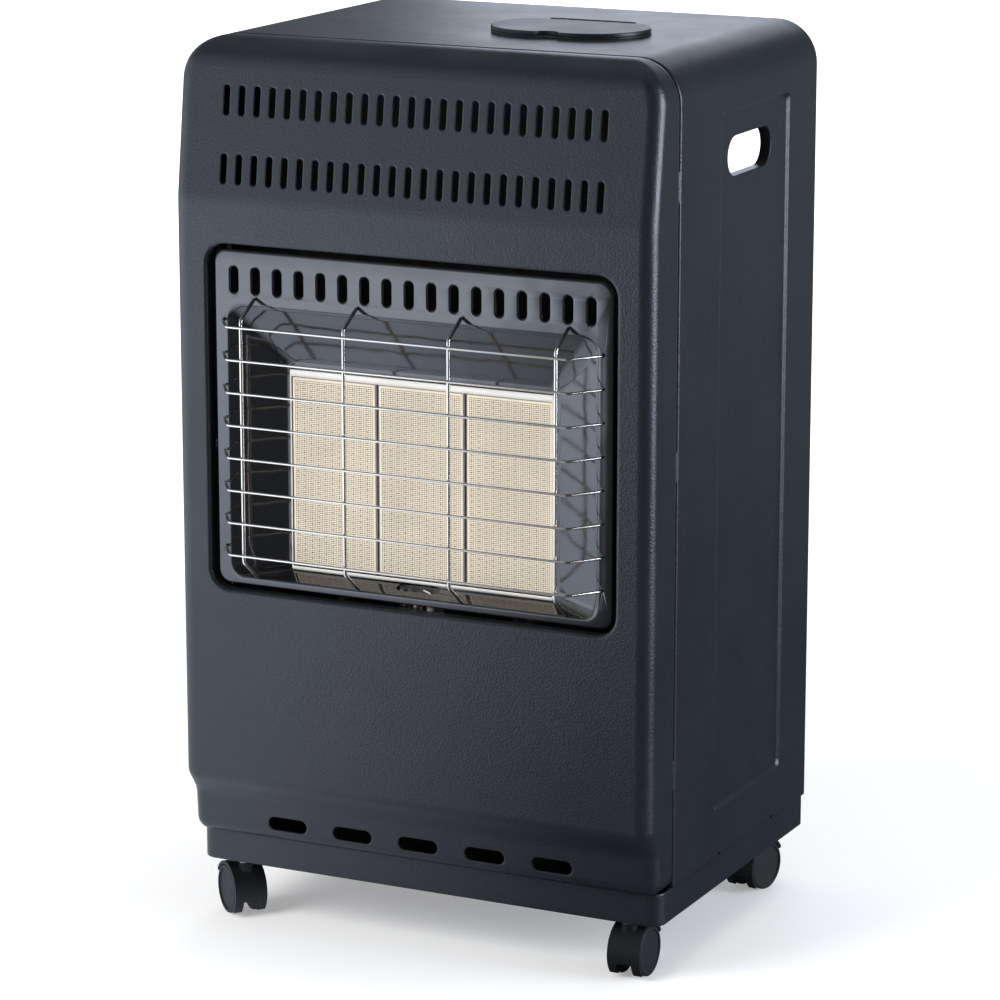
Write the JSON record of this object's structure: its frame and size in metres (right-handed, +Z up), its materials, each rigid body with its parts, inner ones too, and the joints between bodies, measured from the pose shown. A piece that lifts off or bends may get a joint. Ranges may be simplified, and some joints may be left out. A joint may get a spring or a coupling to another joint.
{
  "type": "portable gas cabinet heater",
  "caption": "Sheet cabinet room heater on casters with ceramic radiant burners behind a wire guard, a gas bottle bay behind and controls under a top flap.",
  "frame": {"origin": "centre of the bounding box's bottom face, on the floor", "axes": "+Z up, +Y from the burner front to the back, +X to the right seen from the front"},
  "size_m": [0.42, 0.3532, 0.7431],
  "materials": {
    "cabinet_paint": "satin textured powder coat",
    "enamel": "gloss black enamel",
    "plated_wire": "bright plating",
    "bright_steel": "bright sheet",
    "plaque_ceramic": "matte perforated ceramic",
    "white_ceramic": "glazed insulator",
    "galvanised": "galvanised sheet",
    "zinc_steel": "zinc plated",
    "brass": "turned brass",
    "cast_alloy": "die-cast alloy",
    "copper_lead": "copper capillary",
    "lead_sleeve": "silicone sleeve",
    "black_plastic": "moulded black plastic",
    "lid_plastic": "textured dark grey plastic",
    "caster_plastic": "moulded dark plastic",
    "wheel_plastic": "hard nylon wheel"
  },
  "bodies": {
    "cabinet": {"front_cover": "cabinet_paint", "cabinet_shell": "cabinet_paint", "base_tray": "cabinet_paint", "bulkhead": "galvanised", "heat_shield": "galvanised", "bulkhead_screws": "zinc_steel", "reflector": "enamel", "guard_grille": "plated_wire", "burner_frame": "bright_steel", "gas_manifold": "zinc_steel", "burner_injectors": "brass", "pilot_burner": "zinc_steel", "thermocouple": "copper_lead", "ignition_electrode": "white_ceramic", "ignition_lead": "lead_sleeve", "pilot_pipe": "cast_alloy", "burner_pipe": "zinc_steel", "gas_valve_body": "cast_alloy", "valve_bracket": "galvanised", "hose_nozzle": "brass", "piezo_body": "black_plastic", "control_cup": "lid_plastic", "lid_pins": "zinc_steel", "ceramic_plaque_left": "plaque_ceramic", "burner_body_left": "bright_steel", "ceramic_plaque_middle": "plaque_ceramic", "burner_body_middle": "bright_steel", "ceramic_plaque_right": "plaque_ceramic", "burner_body_right": "bright_steel", "caster_socket_front_left": "zinc_steel", "caster_socket_front_right": "zinc_steel", "caster_socket_rear_left": "zinc_steel", "caster_socket_rear_right": "zinc_steel"},
    "lid": {"control_lid": "lid_plastic"},
    "valve_core": {"valve_plug": "brass"},
    "knob": {"valve_spindle": "brass", "control_knob": "black_plastic"},
    "igniter_button": {"piezo_button": "black_plastic"},
    "back_panel": {"rear_cover": "cabinet_paint"},
    "caster_front_left": {"caster_hood_front_left": "caster_plastic", "caster_stem_front_left": "zinc_steel", "caster_axle_front_left": "zinc_steel"},
    "wheel_front_left_left": {"caster_wheel_front_left_left": "wheel_plastic"},
    "wheel_front_left_right": {"caster_wheel_front_left_right": "wheel_plastic"},
    "caster_front_right": {"caster_hood_front_right": "caster_plastic", "caster_stem_front_right": "zinc_steel", "caster_axle_front_right": "zinc_steel"},
    "wheel_front_right_left": {"caster_wheel_front_right_left": "wheel_plastic"},
    "wheel_front_right_right": {"caster_wheel_front_right_right": "wheel_plastic"},
    "caster_rear_left": {"caster_hood_rear_left": "caster_plastic", "caster_stem_rear_left": "zinc_steel", "caster_axle_rear_left": "zinc_steel"},
    "wheel_rear_left_left": {"caster_wheel_rear_left_left": "wheel_plastic"},
    "wheel_rear_left_right": {"caster_wheel_rear_left_right": "wheel_plastic"},
    "caster_rear_right": {"caster_hood_rear_right": "caster_plastic", "caster_stem_rear_right": "zinc_steel", "caster_axle_rear_right": "zinc_steel"},
    "wheel_rear_right_left": {"caster_wheel_rear_right_left": "wheel_plastic"},
    "wheel_rear_right_right": {"caster_wheel_rear_right_right": "wheel_plastic"}
  },
  "joints": [
    {"name": "lid_hinge", "type": "hinge", "parent": "cabinet", "child": "lid", "pos_m": [0.062, 0.05255, 0.7406], "axis": [-1, 0, 0], "range_deg": [0, 105]},
    {"name": "valve_turn", "type": "hinge", "parent": "cabinet", "child": "valve_core", "pos_m": [0.044, 0.01455, 0.694], "axis": [0, 0, -1], "range_deg": [0, 210]},
    {"name": "knob_press", "type": "slide", "parent": "valve_core", "child": "knob", "axis": [0, 0, -1], "range_m": [0, 0.0045], "stiffness_N_per_m": 1200, "springref_m": -0.002},
    {"name": "igniter_press", "type": "slide", "parent": "cabinet", "child": "igniter_button", "axis": [0, 0, -1], "range_m": [0, 0.006], "stiffness_N_per_m": 1200, "springref_m": -0.002},
    {"name": "back_panel_lift", "type": "slide", "parent": "cabinet", "child": "back_panel", "axis": [0, 0, 1], "range_m": [0, 0.012]},
    {"name": "swivel_front_left", "type": "hinge", "parent": "cabinet", "child": "caster_front_left", "pos_m": [-0.176, -0.11145, 0.05], "axis": [0, 0, 1], "continuous": true},
    {"name": "roll_front_left_left", "type": "hinge", "parent": "caster_front_left", "child": "wheel_front_left_left", "pos_m": [-0.18366, -0.10502, 0.0205], "axis": [0.6428, 0.766, 0], "continuous": true},
    {"name": "roll_front_left_right", "type": "hinge", "parent": "caster_front_left", "child": "wheel_front_left_right", "pos_m": [-0.18366, -0.10502, 0.0205], "axis": [0.6428, 0.766, 0], "continuous": true},
    {"name": "swivel_front_right", "type": "hinge", "parent": "cabinet", "child": "caster_front_right", "pos_m": [0.176, -0.11145, 0.05], "axis": [0, 0, 1], "continuous": true},
    {"name": "roll_front_right_left", "type": "hinge", "parent": "caster_front_right", "child": "wheel_front_right_left", "pos_m": [0.176, -0.10145, 0.0205], "axis": [1, 0, 0], "continuous": true},
    {"name": "roll_front_right_right", "type": "hinge", "parent": "caster_front_right", "child": "wheel_front_right_right", "pos_m": [0.176, -0.10145, 0.0205], "axis": [1, 0, 0], "continuous": true},
    {"name": "swivel_rear_left", "type": "hinge", "parent": "cabinet", "child": "caster_rear_left", "pos_m": [-0.176, 0.13255, 0.05], "axis": [0, 0, 1], "continuous": true},
    {"name": "roll_rear_left_left", "type": "hinge", "parent": "caster_rear_left", "child": "wheel_rear_left_left", "pos_m": [-0.18023, 0.14161, 0.0205], "axis": [0.9063, 0.4226, 0], "continuous": true},
    {"name": "roll_rear_left_right", "type": "hinge", "parent": "caster_rear_left", "child": "wheel_rear_left_right", "pos_m": [-0.18023, 0.14161, 0.0205], "axis": [0.9063, 0.4226, 0], "continuous": true},
    {"name": "swivel_rear_right", "type": "hinge", "parent": "cabinet", "child": "caster_rear_right", "pos_m": [0.176, 0.13255, 0.05], "axis": [0, 0, 1], "continuous": true},
    {"name": "roll_rear_right_left", "type": "hinge", "parent": "caster_rear_right", "child": "wheel_rear_right_left", "pos_m": [0.17808, 0.14233, 0.0205], "axis": [0.9781, -0.2079, 0], "continuous": true},
    {"name": "roll_rear_right_right", "type": "hinge", "parent": "caster_rear_right", "child": "wheel_rear_right_right", "pos_m": [0.17808, 0.14233, 0.0205], "axis": [0.9781, -0.2079, 0], "continuous": true}
  ]
}
